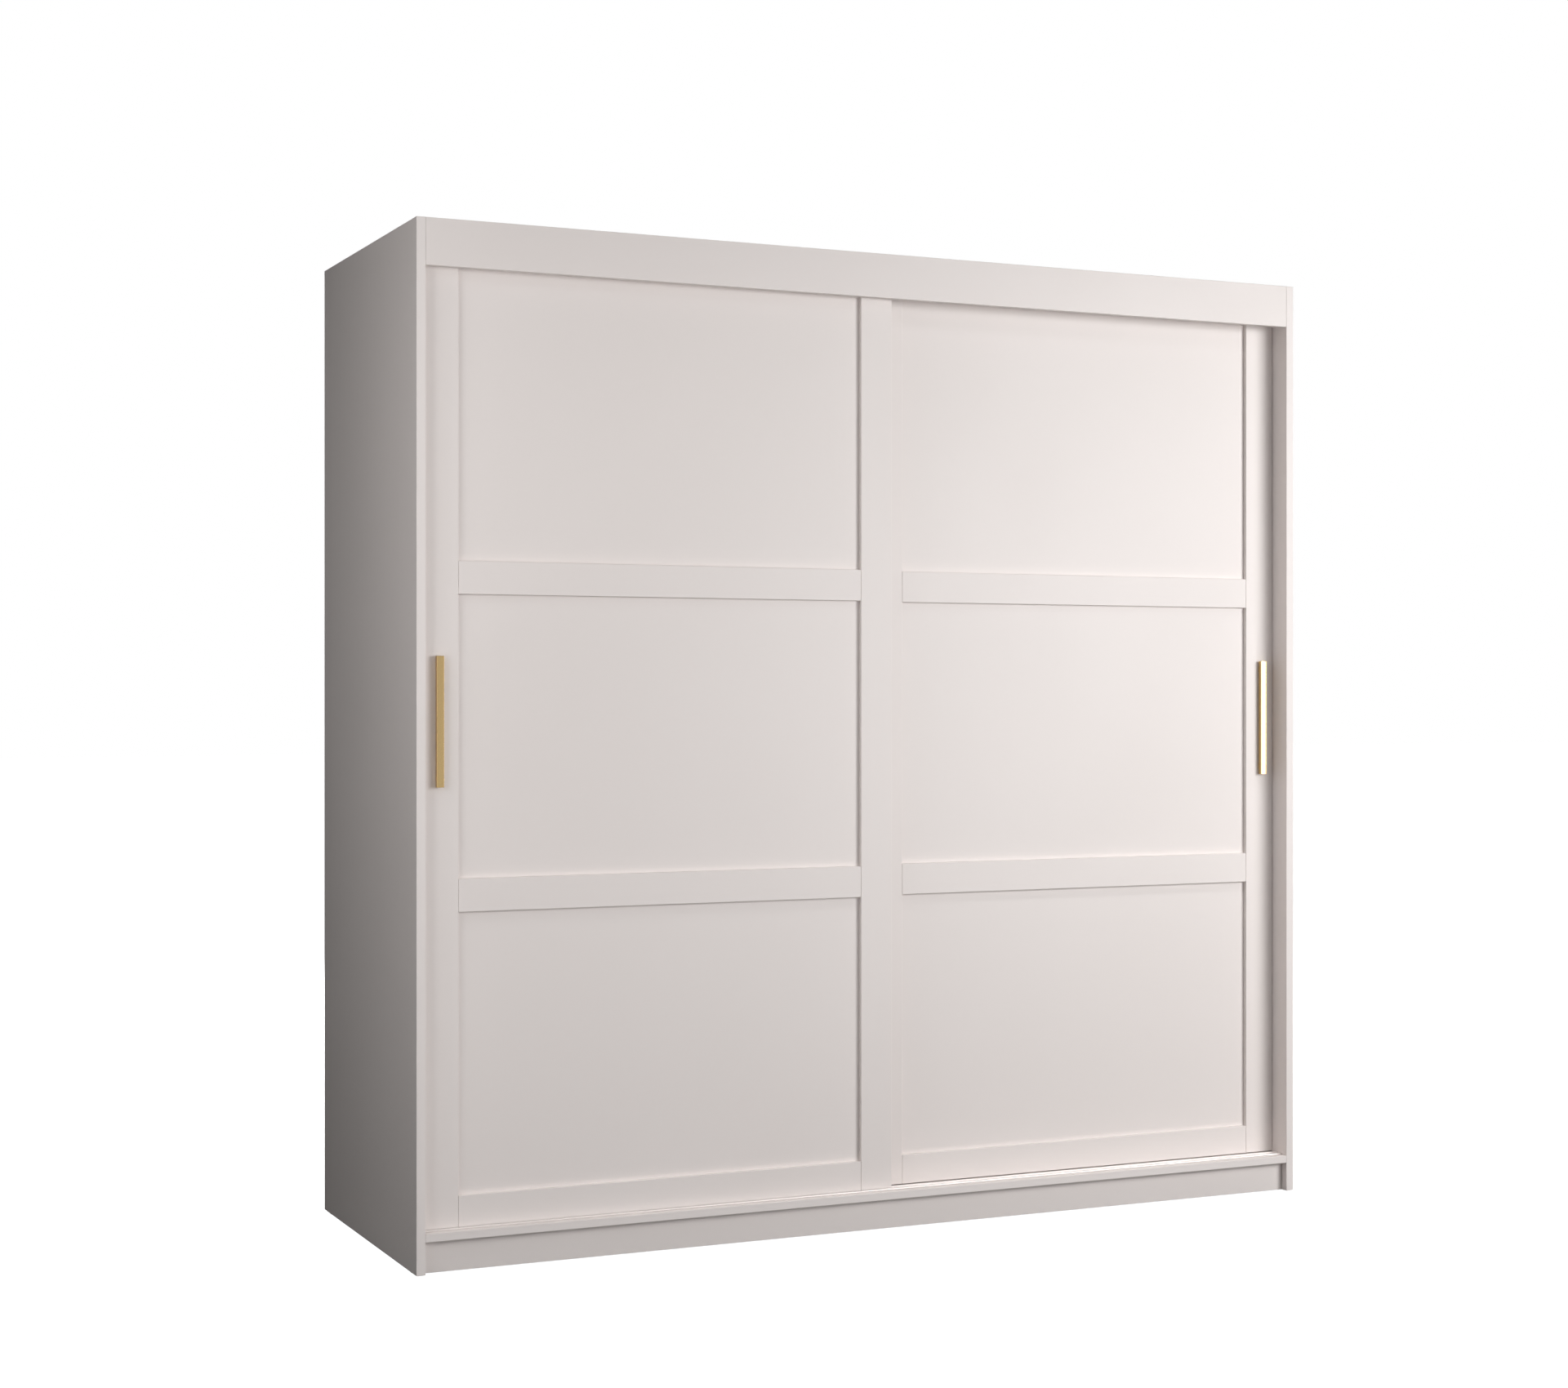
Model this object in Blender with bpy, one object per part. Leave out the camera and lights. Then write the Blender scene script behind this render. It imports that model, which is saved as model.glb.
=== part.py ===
"""Two-door sliding wardrobe: a board carcass with a shelf side and a hanging side, closed by two framed doors.

Each door rolls on a beaded bottom track and is steered by guides in a double channel under the top panel. The
left door runs in the front lane and the right door in the rear lane, so each can pass the other.

Metres. +X is to the right as seen from the front, +Y is towards the back, +Z is up. The origin is on the floor
under the middle of the footprint.
"""

import math

import bmesh
import bpy

# Outer size
WIDTH = 2.000
DEPTH = 0.690
HEIGHT = 2.000

# Boards
SIDE_THICKNESS = 0.018
BOARD_THICKNESS = 0.016
BACK_THICKNESS = 0.003
BACK_INSET = 0.002
GAP = 0.0003

# Base
GLIDE_HEIGHT = 0.002
GLIDE_RADIUS = 0.007
GLIDE_FROM_CORNER = 0.045
PLINTH_HEIGHT = 0.064
PLINTH_RECESS = 0.018
PLINTH_REAR_INSET = 0.060

# Interior
PARTITION_SETBACK = 0.078
SHELF_SETBACK = 0.088
SHELF_BACK_CLEARANCE = 0.002
HAT_SHELF_UNDERSIDE = 1.640
SHELVES_BELOW_HAT_SHELF = 3

# Oval hanging rail and its cups
RAIL_WIDTH = 0.015
RAIL_HEIGHT = 0.030
RAIL_WALL = 0.0012
RAIL_DROP = 0.058
RAIL_SETBACK = 0.370
CUP_WALL = 0.0025
CUP_LENGTH = 0.014
CUP_PLATE_THICKNESS = 0.003
CUP_PLATE_WIDTH = 0.030
CUP_PLATE_HEIGHT = 0.062

# Fascia and doors
FASCIA_HEIGHT = 0.090
DOOR_WIDTH = 0.996
DOOR_SIDE_GAP = 0.001
DOOR_TOP = 1.957
DOOR_FRAME_BOTTOM = 0.083
DOOR_PANEL_BOTTOM = 0.0905
FRAME_THICKNESS = 0.009
PANEL_THICKNESS = 0.008
STILE_WIDTH = 0.070
TOP_RAIL_HEIGHT = 0.040
BOTTOM_RAIL_TOP = 0.143
MID_RAIL_HEIGHT = 0.0635
LOWER_RAIL_BOTTOM = 0.6837
UPPER_RAIL_BOTTOM = 1.2902
FRONT_LANE_SETBACK = 0.0215
REAR_LANE_SETBACK = 0.0518
DOOR_TRAVEL = 0.960

# Bar handles
HANDLE_FROM_DOOR_EDGE = 0.031
HANDLE_BOTTOM = 0.922
HANDLE_LENGTH = 0.250
HANDLE_WIDTH = 0.014
HANDLE_DEPTH = 0.0105
HANDLE_STANDOFF = 0.0015
HANDLE_EDGE_RADIUS = 0.0004
HANDLE_FOOT_HEIGHT = 0.012
HANDLE_FOOT_INSET = 0.018

# Rollers
WHEEL_GROOVE_RADIUS = 0.0085
WHEEL_FLANGE_RADIUS = 0.0105
WHEEL_BORE_RADIUS = 0.0016
WHEEL_WIDTH = 0.0050
WHEEL_GROOVE_WIDTH = 0.0026
WHEEL_FLANGE_TIP = 0.0007
AXLE_RADIUS = 0.0015
ROLLER_FROM_DOOR_END = 0.120
HOUSING_LENGTH = 0.044
HOUSING_BELOW_AXLE = 0.0070
HOUSING_ABOVE_AXLE = 0.0190
HOUSING_THICKNESS = 0.0074
WHEEL_SLOT_LENGTH = 0.0245
WHEEL_SLOT_WIDTH = 0.0056
WHEEL_SLOT_ABOVE_AXLE = 0.0120

# Top guides
GUIDE_FROM_DOOR_END = 0.060
GUIDE_LENGTH = 0.060
GUIDE_HEIGHT = 0.028
GUIDE_THICKNESS = 0.0074
GUIDE_STEM_RADIUS = 0.0030
GUIDE_STEM_HEIGHT = 0.0075
GUIDE_NOSE_RADIUS = 0.0055
GUIDE_NOSE_TOP = 0.0210
GUIDE_NOSE_CHAMFER = 0.0015

# Tracks
TRACK_WALL = 0.0012
TOP_TRACK_WEB = 0.0017
TOP_TRACK_CHANNEL = 0.013
TOP_TRACK_DROP = 0.0220
BOTTOM_TRACK_FRONT = 0.0175
BOTTOM_TRACK_REAR = 0.0750
TRACK_LIP_THICKNESS = 0.0026
TRACK_LIP_HEIGHT = 0.0032
TRACK_LIP_RADIUS = 0.0022
BEAD_WIDTH = 0.0020
BEAD_HEIGHT = 0.0042
STOP_LENGTH = 0.018
STOP_HEIGHT = 0.014
STOP_SIDE_CLEARANCE = 0.0004

# Facets of round shapes
ROUND_SEGMENTS = 32
SMALL_ROUND_SEGMENTS = 24
HALF_ROUND_STEPS = 8
BEAD_ARC_STEPS = 6
LIP_ARC_STEPS = 5
SHARP_ANGLE = math.radians(35)
MERGE_DISTANCE = 1e-6

# Planes and heights worked out from the sizes above
FRONT = -DEPTH / 2
REAR = DEPTH / 2
CARCASS_REAR = REAR - BACK_THICKNESS - GAP
INNER_HALF = WIDTH / 2 - SIDE_THICKNESS
SIDE_BOTTOM = GLIDE_HEIGHT + GAP
FLOOR_TOP = PLINTH_HEIGHT + BOARD_THICKNESS
TOP_UNDERSIDE = HEIGHT - BOARD_THICKNESS
TRACK_BOTTOM = FLOOR_TOP + GAP
AXLE_HEIGHT = TRACK_BOTTOM + BEAD_HEIGHT + GAP + WHEEL_GROOVE_RADIUS
LANE_SETBACKS = (
    FRONT_LANE_SETBACK + FRAME_THICKNESS + PANEL_THICKNESS / 2,
    REAR_LANE_SETBACK + FRAME_THICKNESS + PANEL_THICKNESS / 2,
)

# Colour, roughness and metallic value of each finish
FINISHES = {
    "laminate": ((0.78, 0.77, 0.76), 0.45, 0.0),
    "door_paint": ((0.80, 0.78, 0.77), 0.50, 0.0),
    "hardboard": ((0.72, 0.71, 0.69), 0.60, 0.0),
    "brass": ((0.60, 0.45, 0.25), 0.32, 1.0),
    "aluminium": ((0.80, 0.81, 0.82), 0.30, 1.0),
    "track_lacquer": ((0.80, 0.79, 0.78), 0.45, 0.0),
    "chrome": ((0.86, 0.87, 0.88), 0.12, 1.0),
    "steel": ((0.55, 0.55, 0.56), 0.35, 1.0),
    "nylon": ((0.82, 0.81, 0.78), 0.45, 0.0),
    "grey_plastic": ((0.45, 0.45, 0.46), 0.50, 0.0),
    "rubber": ((0.08, 0.08, 0.08), 0.80, 0.0),
    "glide_plastic": ((0.70, 0.69, 0.67), 0.55, 0.0),
}


def clear_scene():
    for obj in list(bpy.data.objects):
        bpy.data.objects.remove(obj, do_unlink=True)


def material_for(name, finish):
    colour, roughness, metallic = FINISHES[finish]
    material = bpy.data.materials.new(f"{name}_{finish}")
    material.use_nodes = True
    shader = material.node_tree.nodes["Principled BSDF"]
    shader.inputs["Base Color"].default_value = (*colour, 1.0)
    shader.inputs["Roughness"].default_value = roughness
    shader.inputs["Metallic"].default_value = metallic
    material.diffuse_color = (*colour, 1.0)
    return material


def add_part(name, mesh, finish, place, parent=None):
    """Add one sub-part whose mesh is centred on `place`, a world position, under `parent`."""
    obj = bpy.data.objects.new(name, mesh)
    bpy.context.scene.collection.objects.link(obj)
    obj.parent = parent
    start = parent.location if parent else (0.0, 0.0, 0.0)
    obj.location = [place[i] - start[i] for i in range(3)]
    if not mesh.materials:
        mesh.materials.append(None)
    obj.material_slots[0].link = "OBJECT"
    obj.material_slots[0].material = material_for(name, finish)
    return obj


def add_empty(name, place):
    empty = bpy.data.objects.new(name, None)
    empty.empty_display_size = 0.1
    empty.location = place
    bpy.context.scene.collection.objects.link(empty)
    return empty


def mesh_from(bm, name, smooth=False):
    bmesh.ops.recalc_face_normals(bm, faces=bm.faces)
    mesh = bpy.data.meshes.new(name)
    bm.to_mesh(mesh)
    bm.free()
    if smooth:
        mesh.shade_smooth()
        mesh.set_sharp_from_angle(angle=SHARP_ANGLE)
    return mesh


def block_mesh(name, size, centre=(0.0, 0.0, 0.0)):
    bm = bmesh.new()
    bmesh.ops.create_cube(bm, size=1.0)
    bmesh.ops.scale(bm, vec=size, verts=bm.verts)
    bmesh.ops.translate(bm, vec=centre, verts=bm.verts)
    return mesh_from(bm, name)


def extruded_mesh(name, outline, to_point, start, end):
    """Extrude a closed 2-D outline from `start` to `end`; `to_point(u, v, w)` gives the 3-D point."""
    bm = bmesh.new()
    face = bm.faces.new([bm.verts.new(to_point(u, v, start)) for u, v in outline])
    grown = bmesh.ops.extrude_face_region(bm, geom=[face])
    shift = [b - a for a, b in zip(to_point(0, 0, start), to_point(0, 0, end))]
    bmesh.ops.translate(bm, vec=shift, verts=[v for v in grown["geom"] if isinstance(v, bmesh.types.BMVert)])
    return mesh_from(bm, name)


def turned_mesh(name, profile, axis, segments, closed=False):
    """Spin (radius, along) points about `axis`, 'Y' or 'Z', through the origin.

    An open profile starts and ends on the axis and gives a solid piece. A closed one leaves a bore in the middle.
    """
    bm = bmesh.new()
    if axis == "Y":
        verts = [bm.verts.new((radius, along, 0.0)) for radius, along in profile]
        direction = (0.0, 1.0, 0.0)
    else:
        verts = [bm.verts.new((radius, 0.0, along)) for radius, along in profile]
        direction = (0.0, 0.0, 1.0)
    edges = [bm.edges.new(pair) for pair in zip(verts, verts[1:])]
    if closed:
        edges.append(bm.edges.new((verts[-1], verts[0])))
    bmesh.ops.spin(
        bm,
        geom=verts + edges,
        cent=(0.0, 0.0, 0.0),
        axis=direction,
        angle=2 * math.pi,
        steps=segments,
        use_merge=True,
    )
    bmesh.ops.remove_doubles(bm, verts=bm.verts, dist=MERGE_DISTANCE)
    return mesh_from(bm, name, smooth=True)


def combined_mesh(name, base, steps, smooth=False):
    """Apply Boolean steps, each (operation, mesh), to `base` and return the result as a new mesh."""
    scene = bpy.context.scene.collection
    body = bpy.data.objects.new(f"{name}_body", base)
    scene.objects.link(body)
    tools = []
    for operation, mesh in steps:
        tool = bpy.data.objects.new(f"{name}_tool", mesh)
        tool.hide_render = True
        tool.display_type = "WIRE"
        scene.objects.link(tool)
        tools.append(tool)
        modifier = body.modifiers.new(operation.lower(), "BOOLEAN")
        modifier.operation = operation
        modifier.solver = "EXACT"
        modifier.object = tool
    graph = bpy.context.evaluated_depsgraph_get()
    mesh = bpy.data.meshes.new_from_object(body.evaluated_get(graph))
    mesh.name = name
    for obj in (body, *tools):
        bpy.data.objects.remove(obj, do_unlink=True)
    if smooth:
        mesh.shade_smooth()
        mesh.set_sharp_from_angle(angle=SHARP_ANGLE)
    return mesh


def board(name, finish, low, high, parent=None):
    """A rectangular board between two world corners, with its origin at its middle."""
    size = [b - a for a, b in zip(low, high)]
    centre = [(a + b) / 2 for a, b in zip(low, high)]
    return add_part(name, block_mesh(name, size), finish, centre, parent)


def carcass_boards():
    for side, sign in (("left", -1), ("right", 1)):
        faces = sorted((sign * INNER_HALF, sign * WIDTH / 2))
        board(f"side_panel_{side}", "laminate", (faces[0], FRONT, SIDE_BOTTOM), (faces[1], CARCASS_REAR, HEIGHT))
    half = INNER_HALF - GAP
    top_front = FRONT + BOARD_THICKNESS + GAP
    board("top_panel", "laminate", (-half, top_front, TOP_UNDERSIDE), (half, CARCASS_REAR, HEIGHT))
    board("bottom_panel", "laminate", (-half, FRONT, PLINTH_HEIGHT), (half, CARCASS_REAR, FLOOR_TOP))
    board("fascia", "laminate", (-half, FRONT, HEIGHT - FASCIA_HEIGHT), (half, FRONT + BOARD_THICKNESS, HEIGHT))
    plinth_top = PLINTH_HEIGHT - GAP
    front_face = FRONT + PLINTH_RECESS
    rear_face = CARCASS_REAR - PLINTH_REAR_INSET
    for name, face in (("plinth_front", front_face), ("plinth_rear", rear_face)):
        board(name, "laminate", (-half, face, SIDE_BOTTOM), (half, face + BOARD_THICKNESS, plinth_top))
    board(
        "centre_partition",
        "laminate",
        (-BOARD_THICKNESS / 2, FRONT + PARTITION_SETBACK, FLOOR_TOP + GAP),
        (BOARD_THICKNESS / 2, CARCASS_REAR, TOP_UNDERSIDE - GAP),
    )


def back_panels():
    outer = WIDTH / 2 - BACK_INSET
    for side, sign in (("left", -1), ("right", 1)):
        edges = sorted((sign * GAP, sign * outer))
        board(
            f"back_panel_{side}",
            "hardboard",
            (edges[0], REAR - BACK_THICKNESS, PLINTH_HEIGHT + BACK_INSET),
            (edges[1], REAR, HEIGHT - BACK_INSET),
        )


def shelf(name, side, underside):
    sign = -1 if side == "left" else 1
    ends = sorted((sign * (BOARD_THICKNESS / 2 + GAP), sign * (INNER_HALF - GAP)))
    rear = CARCASS_REAR - SHELF_BACK_CLEARANCE
    low = (ends[0], FRONT + SHELF_SETBACK, underside)
    board(name, "laminate", low, (ends[1], rear, underside + BOARD_THICKNESS))


def shelves():
    shelf("hat_shelf_left", "left", HAT_SHELF_UNDERSIDE)
    shelf("hat_shelf_right", "right", HAT_SHELF_UNDERSIDE)
    thickness_in_all = SHELVES_BELOW_HAT_SHELF * BOARD_THICKNESS
    clear_height = (HAT_SHELF_UNDERSIDE - FLOOR_TOP - thickness_in_all) / (SHELVES_BELOW_HAT_SHELF + 1)
    for i in range(SHELVES_BELOW_HAT_SHELF):
        underside = FLOOR_TOP + (i + 1) * clear_height + i * BOARD_THICKNESS
        shelf(f"shelf_right_{i + 1}", "right", underside)


def oval_outline(width, height):
    """A stadium outline in (y, z): straight sides with a half circle above and below."""
    radius = width / 2
    straight = height / 2 - radius
    points = []
    for centre, first_angle in ((straight, 0.0), (-straight, math.pi)):
        for i in range(HALF_ROUND_STEPS + 1):
            angle = first_angle + math.pi * i / HALF_ROUND_STEPS
            points.append((radius * math.cos(angle), centre + radius * math.sin(angle)))
    return points


def along_x(u, v, w):
    return (w, u, v)


def along_y(u, v, w):
    return (u, w, v)


def hanging_rail():
    left = -INNER_HALF + GAP + CUP_PLATE_THICKNESS + GAP
    right = -BOARD_THICKNESS / 2 - GAP - CUP_PLATE_THICKNESS - GAP
    middle = (left + right) / 2
    reach = (right - left) / 2
    centre = (middle, FRONT + RAIL_SETBACK, HAT_SHELF_UNDERSIDE - RAIL_DROP)
    outer = extruded_mesh("rail_outer", oval_outline(RAIL_WIDTH, RAIL_HEIGHT), along_x, -reach, reach)
    bore_size = (RAIL_WIDTH - 2 * RAIL_WALL, RAIL_HEIGHT - 2 * RAIL_WALL)
    bore = extruded_mesh("rail_bore", oval_outline(*bore_size), along_x, -2 * reach, 2 * reach)
    mesh = combined_mesh("hanging_rail", outer, [("DIFFERENCE", bore)], smooth=True)
    add_part("hanging_rail", mesh, "chrome", centre)
    ends = (("left", left - GAP - CUP_PLATE_THICKNESS, 1), ("right", right + GAP + CUP_PLATE_THICKNESS, -1))
    for side, face, inwards in ends:
        add_part(f"rail_cup_{side}", rail_cup_mesh(inwards), "chrome", (face, centre[1], centre[2]))


def cup_outline():
    """A U that holds the rail from below and is open at the top, in (y, z)."""
    inner = RAIL_WIDTH / 2 + GAP
    outer = inner + CUP_WALL
    fall = -(RAIL_HEIGHT / 2 - RAIL_WIDTH / 2)
    top = RAIL_HEIGHT / 2
    points = [(-outer, top)]
    for i in range(HALF_ROUND_STEPS + 1):
        angle = math.pi + math.pi * i / HALF_ROUND_STEPS
        points.append((outer * math.cos(angle), fall + outer * math.sin(angle)))
    points += [(outer, top), (inner, top)]
    for i in range(HALF_ROUND_STEPS + 1):
        angle = -math.pi * i / HALF_ROUND_STEPS
        points.append((inner * math.cos(angle), fall + inner * math.sin(angle)))
    points.append((-inner, top))
    return points


def rail_cup_mesh(inwards):
    """A screw plate with its back at x = 0 and a U-shaped cup that stands out to `inwards`, 1 or -1."""
    plate_size = (CUP_PLATE_THICKNESS, CUP_PLATE_WIDTH, CUP_PLATE_HEIGHT)
    plate = block_mesh("cup_plate", plate_size, (inwards * CUP_PLATE_THICKNESS / 2, 0.0, 0.0))
    start, end = sorted((inwards * CUP_PLATE_THICKNESS / 2, inwards * (CUP_PLATE_THICKNESS + CUP_LENGTH)))
    cup = extruded_mesh("cup_ring", cup_outline(), along_x, start, end)
    return combined_mesh("rail_cup", plate, [("UNION", cup)])


def glides():
    profile = [(0.0, 0.0), (GLIDE_RADIUS, 0.0), (GLIDE_RADIUS, GLIDE_HEIGHT), (0.0, GLIDE_HEIGHT)]
    mesh = turned_mesh("floor_glide", profile, "Z", SMALL_ROUND_SEGMENTS)
    across = WIDTH / 2 - SIDE_THICKNESS / 2
    along = (FRONT + GLIDE_FROM_CORNER, CARCASS_REAR - GLIDE_FROM_CORNER)
    for side, x in (("left", -across), ("right", across)):
        for end, y in (("front", along[0]), ("rear", along[1])):
            add_part(f"floor_glide_{side}_{end}", mesh, "glide_plastic", (x, y, 0.0))


def top_track():
    """A web with two downward channels, one for each door's guides."""
    top = TOP_UNDERSIDE - GAP
    web = top - TOP_TRACK_WEB
    foot = top - TOP_TRACK_DROP
    inner = TOP_TRACK_CHANNEL / 2
    outer = inner + TRACK_WALL
    front_lane, rear_lane = LANE_SETBACKS
    outline = [(front_lane - outer, top), (front_lane - outer, foot)]
    outline += [(front_lane - inner, foot), (front_lane - inner, web)]
    outline += [(front_lane + inner, web), (front_lane + inner, foot)]
    outline += [(front_lane + outer, foot), (front_lane + outer, web)]
    outline += [(rear_lane - outer, web), (rear_lane - outer, foot)]
    outline += [(rear_lane - inner, foot), (rear_lane - inner, web)]
    outline += [(rear_lane + inner, web), (rear_lane + inner, foot)]
    outline += [(rear_lane + outer, foot), (rear_lane + outer, top)]
    length = INNER_HALF - GAP
    mesh = extruded_mesh("top_track", outline, along_x, -length, length)
    add_part("top_track", mesh, "aluminium", (0.0, FRONT, 0.0))


def bead_outline(lane):
    """A bead from its rear foot over its round top to its front foot, in (setback, z)."""
    radius = BEAD_WIDTH / 2
    base = TRACK_BOTTOM + TRACK_WALL
    shoulder = TRACK_BOTTOM + BEAD_HEIGHT - radius
    points = [(lane + radius, base)]
    for i in range(BEAD_ARC_STEPS + 1):
        angle = math.pi * i / BEAD_ARC_STEPS
        points.append((lane + radius * math.cos(angle), shoulder + radius * math.sin(angle)))
    points.append((lane - radius, base))
    return points


def bottom_track():
    """A flat strip with two beads for the wheels and a low lip with a rounded nose along its front edge."""
    base = TRACK_BOTTOM + TRACK_WALL
    lip_rear = BOTTOM_TRACK_FRONT + TRACK_LIP_THICKNESS
    lip_top = TRACK_BOTTOM + TRACK_LIP_HEIGHT
    front_lane, rear_lane = LANE_SETBACKS
    outline = [(BOTTOM_TRACK_FRONT, TRACK_BOTTOM), (BOTTOM_TRACK_REAR, TRACK_BOTTOM), (BOTTOM_TRACK_REAR, base)]
    outline += bead_outline(rear_lane)
    outline += bead_outline(front_lane)
    outline += [(lip_rear, base), (lip_rear, lip_top)]
    nose_y = BOTTOM_TRACK_FRONT + TRACK_LIP_RADIUS
    nose_z = lip_top - TRACK_LIP_RADIUS
    for i in range(LIP_ARC_STEPS + 1):
        angle = math.pi / 2 * (1 + i / LIP_ARC_STEPS)
        outline.append((nose_y + TRACK_LIP_RADIUS * math.cos(angle), nose_z + TRACK_LIP_RADIUS * math.sin(angle)))
    length = INNER_HALF - GAP
    mesh = extruded_mesh("bottom_track", outline, along_x, -length, length)
    add_part("bottom_track", mesh, "track_lacquer", (0.0, FRONT, 0.0))


def track_stops(door, lane, rest_ends, travel):
    """Two stops in the top channel, just past the guides' reach at the two ends of the door's travel."""
    size = (STOP_LENGTH, TOP_TRACK_CHANNEL - 2 * STOP_SIDE_CLEARANCE, STOP_HEIGHT)
    mesh = block_mesh("track_stop", size)
    reach = GUIDE_NOSE_RADIUS + GAP + STOP_LENGTH / 2
    left = rest_ends[0] + GUIDE_FROM_DOOR_END + min(travel) - reach
    right = rest_ends[1] - GUIDE_FROM_DOOR_END + max(travel) + reach
    z = TOP_UNDERSIDE - GAP - TOP_TRACK_WEB - GAP - STOP_HEIGHT / 2
    for end, x in (("left", left), ("right", right)):
        add_part(f"{door}_stop_{end}", mesh, "rubber", (x, FRONT + lane, z))


def panel_outline(half_width):
    """The door's backing panel in (x, z): two notches below for the rollers and two above for the guides."""
    housing_half = HOUSING_LENGTH / 2 + GAP
    housing_top = AXLE_HEIGHT + HOUSING_ABOVE_AXLE + GAP
    guide_half = GUIDE_LENGTH / 2 + GAP
    guide_bottom = DOOR_TOP - GUIDE_HEIGHT - GAP
    roller = half_width - ROLLER_FROM_DOOR_END
    guide = half_width - GUIDE_FROM_DOOR_END
    points = [(-half_width, DOOR_PANEL_BOTTOM)]
    for centre in (-roller, roller):
        points += [(centre - housing_half, DOOR_PANEL_BOTTOM), (centre - housing_half, housing_top)]
        points += [(centre + housing_half, housing_top), (centre + housing_half, DOOR_PANEL_BOTTOM)]
    points += [(half_width, DOOR_PANEL_BOTTOM), (half_width, DOOR_TOP)]
    for centre in (guide, -guide):
        points += [(centre + guide_half, DOOR_TOP), (centre + guide_half, guide_bottom)]
        points += [(centre - guide_half, guide_bottom), (centre - guide_half, DOOR_TOP)]
    points.append((-half_width, DOOR_TOP))
    return points


def handle_mesh():
    """A bar with softened edges on two short feet. Its back is at y = 0 and it stands out towards -Y."""
    bar_middle = -(HANDLE_STANDOFF + HANDLE_DEPTH / 2)
    bm = bmesh.new()
    bmesh.ops.create_cube(bm, size=1.0)
    bmesh.ops.scale(bm, vec=(HANDLE_WIDTH, HANDLE_DEPTH, HANDLE_LENGTH), verts=bm.verts)
    bmesh.ops.bevel(bm, geom=bm.edges[:], offset=HANDLE_EDGE_RADIUS, segments=2, profile=0.5, affect="EDGES")
    bmesh.ops.translate(bm, vec=(0.0, bar_middle, 0.0), verts=bm.verts)
    bar = mesh_from(bm, "handle_bar")
    foot_depth = HANDLE_STANDOFF + HANDLE_DEPTH / 2
    foot_size = (HANDLE_WIDTH - 2 * HANDLE_EDGE_RADIUS, foot_depth, HANDLE_FOOT_HEIGHT)
    foot_z = HANDLE_LENGTH / 2 - HANDLE_FOOT_INSET
    feet = [block_mesh("handle_foot", foot_size, (0.0, -foot_depth / 2, z)) for z in (-foot_z, foot_z)]
    return combined_mesh("handle", bar, [("UNION", foot) for foot in feet])


def wheel_mesh():
    """A wheel with a running groove and a flange on each side, about the Y axis."""
    half = WHEEL_WIDTH / 2
    groove = WHEEL_GROOVE_WIDTH / 2
    profile = [(WHEEL_BORE_RADIUS, -half), (WHEEL_FLANGE_RADIUS, -half)]
    profile += [(WHEEL_FLANGE_RADIUS, -half + WHEEL_FLANGE_TIP), (WHEEL_GROOVE_RADIUS, -groove)]
    profile += [(WHEEL_GROOVE_RADIUS, groove), (WHEEL_FLANGE_RADIUS, half - WHEEL_FLANGE_TIP)]
    profile += [(WHEEL_FLANGE_RADIUS, half), (WHEEL_BORE_RADIUS, half)]
    return turned_mesh("wheel", profile, "Y", ROUND_SEGMENTS, closed=True)


def axle_mesh():
    half = HOUSING_THICKNESS / 2
    profile = [(0.0, -half), (AXLE_RADIUS, -half), (AXLE_RADIUS, half), (0.0, half)]
    return turned_mesh("axle", profile, "Y", SMALL_ROUND_SEGMENTS)


def housing_mesh():
    """A block round the axle with a slot for the wheel, open below, and a cross hole for the axle."""
    height = HOUSING_ABOVE_AXLE + HOUSING_BELOW_AXLE
    middle = (HOUSING_ABOVE_AXLE - HOUSING_BELOW_AXLE) / 2
    block = block_mesh("housing_block", (HOUSING_LENGTH, HOUSING_THICKNESS, height), (0.0, 0.0, middle))
    slot_height = 2 * HOUSING_BELOW_AXLE + WHEEL_SLOT_ABOVE_AXLE
    slot_size = (WHEEL_SLOT_LENGTH, WHEEL_SLOT_WIDTH, slot_height)
    slot = block_mesh("wheel_slot", slot_size, (0.0, 0.0, WHEEL_SLOT_ABOVE_AXLE - slot_height / 2))
    reach = HOUSING_THICKNESS
    profile = [(0.0, -reach), (WHEEL_BORE_RADIUS, -reach), (WHEEL_BORE_RADIUS, reach), (0.0, reach)]
    hole = turned_mesh("axle_hole", profile, "Y", SMALL_ROUND_SEGMENTS)
    return combined_mesh("roller_housing", block, [("DIFFERENCE", slot), ("DIFFERENCE", hole)])


def guide_mesh():
    """A body that fills its notch and a round nose above it that runs in the top channel."""
    body = block_mesh("guide_body", (GUIDE_LENGTH, GUIDE_THICKNESS, GUIDE_HEIGHT), (0.0, 0.0, -GUIDE_HEIGHT / 2))
    shoulder = GUIDE_NOSE_TOP - GUIDE_NOSE_CHAMFER
    profile = [(0.0, -GUIDE_HEIGHT / 2), (GUIDE_STEM_RADIUS, -GUIDE_HEIGHT / 2)]
    profile += [(GUIDE_STEM_RADIUS, GUIDE_STEM_HEIGHT), (GUIDE_NOSE_RADIUS, GUIDE_STEM_HEIGHT)]
    profile += [(GUIDE_NOSE_RADIUS, shoulder), (GUIDE_NOSE_RADIUS - GUIDE_NOSE_CHAMFER, GUIDE_NOSE_TOP)]
    profile += [(0.0, GUIDE_NOSE_TOP)]
    nose = turned_mesh("guide_nose", profile, "Z", SMALL_ROUND_SEGMENTS)
    return combined_mesh("top_guide", body, [("UNION", nose)], smooth=True)


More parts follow.
